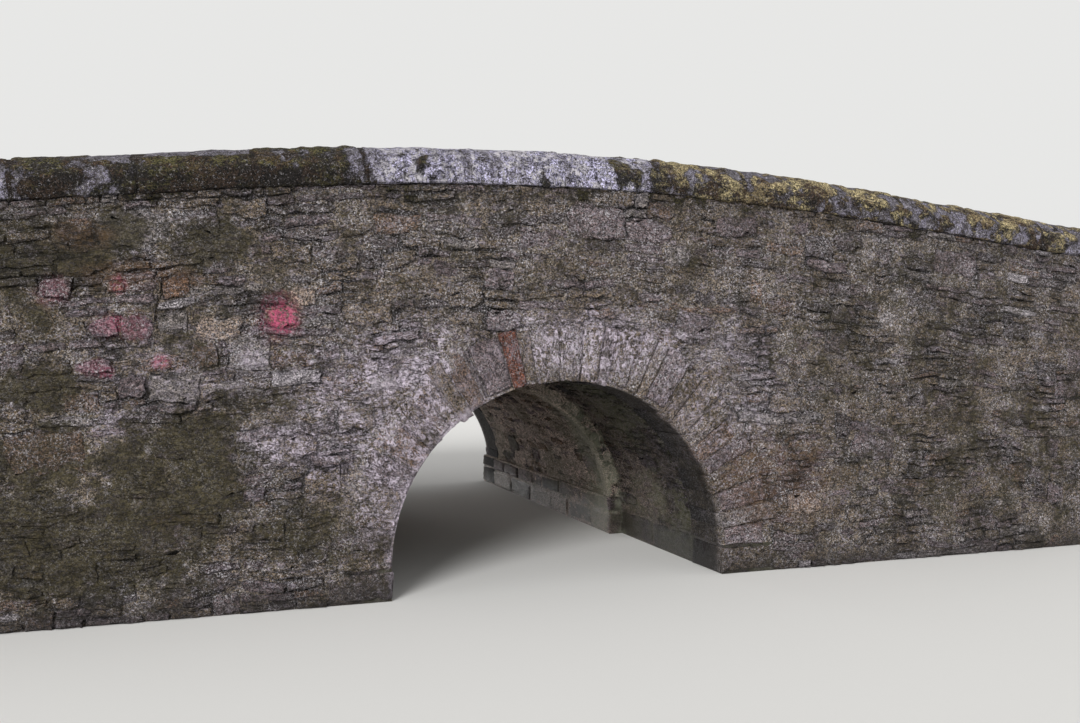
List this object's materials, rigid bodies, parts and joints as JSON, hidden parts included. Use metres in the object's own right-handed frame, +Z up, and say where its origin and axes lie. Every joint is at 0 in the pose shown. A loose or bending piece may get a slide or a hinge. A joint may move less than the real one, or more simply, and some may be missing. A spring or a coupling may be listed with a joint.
{
  "type": "stone arch bridge",
  "caption": "Small humped road bridge of rubble stone: a round arch over a stream, with solid walls, parapets and rounded coping.",
  "frame": {"origin": "at water level under the crown of the arch, midway between the two faces of the bridge", "axes": "+X along the road towards the right end as seen from the front, +Y along the stream from the front face to the back face, +Z up"},
  "size_m": [9.1, 5.37, 2.8498],
  "materials": {
    "rubble_wall": "matte",
    "ring_stone": "matte",
    "vault_stone": "matte",
    "abutment_stone": "matte",
    "coping_stone": "matte",
    "stone_road": "matte",
    "packed_fill": "matte"
  },
  "bodies": {
    "root": {"abutment_left": "abutment_stone", "abutment_right": "abutment_stone", "vault_front_part": "vault_stone", "vault_old_part": "vault_stone", "arch_ring_front": "ring_stone", "arch_ring_back": "ring_stone", "wall_front_left": "rubble_wall", "wall_front_right": "rubble_wall", "wall_back_left": "rubble_wall", "wall_back_right": "rubble_wall", "end_wall_left": "rubble_wall", "end_wall_right": "rubble_wall", "fill_left": "packed_fill", "fill_right": "packed_fill", "road_surface": "stone_road", "parapet_front": "rubble_wall", "parapet_back": "rubble_wall", "coping_front_01": "coping_stone", "coping_front_02": "coping_stone", "coping_front_03": "coping_stone", "coping_front_04": "coping_stone", "coping_front_05": "coping_stone", "coping_front_06": "coping_stone", "coping_front_07": "coping_stone", "coping_front_08": "coping_stone", "coping_front_09": "coping_stone", "coping_front_10": "coping_stone", "coping_front_11": "coping_stone", "coping_front_12": "coping_stone", "coping_front_13": "coping_stone", "coping_front_14": "coping_stone", "coping_back_01": "coping_stone", "coping_back_02": "coping_stone", "coping_back_03": "coping_stone", "coping_back_04": "coping_stone", "coping_back_05": "coping_stone", "coping_back_06": "coping_stone", "coping_back_07": "coping_stone", "coping_back_08": "coping_stone", "coping_back_09": "coping_stone", "coping_back_10": "coping_stone", "coping_back_11": "coping_stone", "coping_back_12": "coping_stone", "coping_back_13": "coping_stone", "coping_back_14": "coping_stone"}
  },
  "joints": []
}
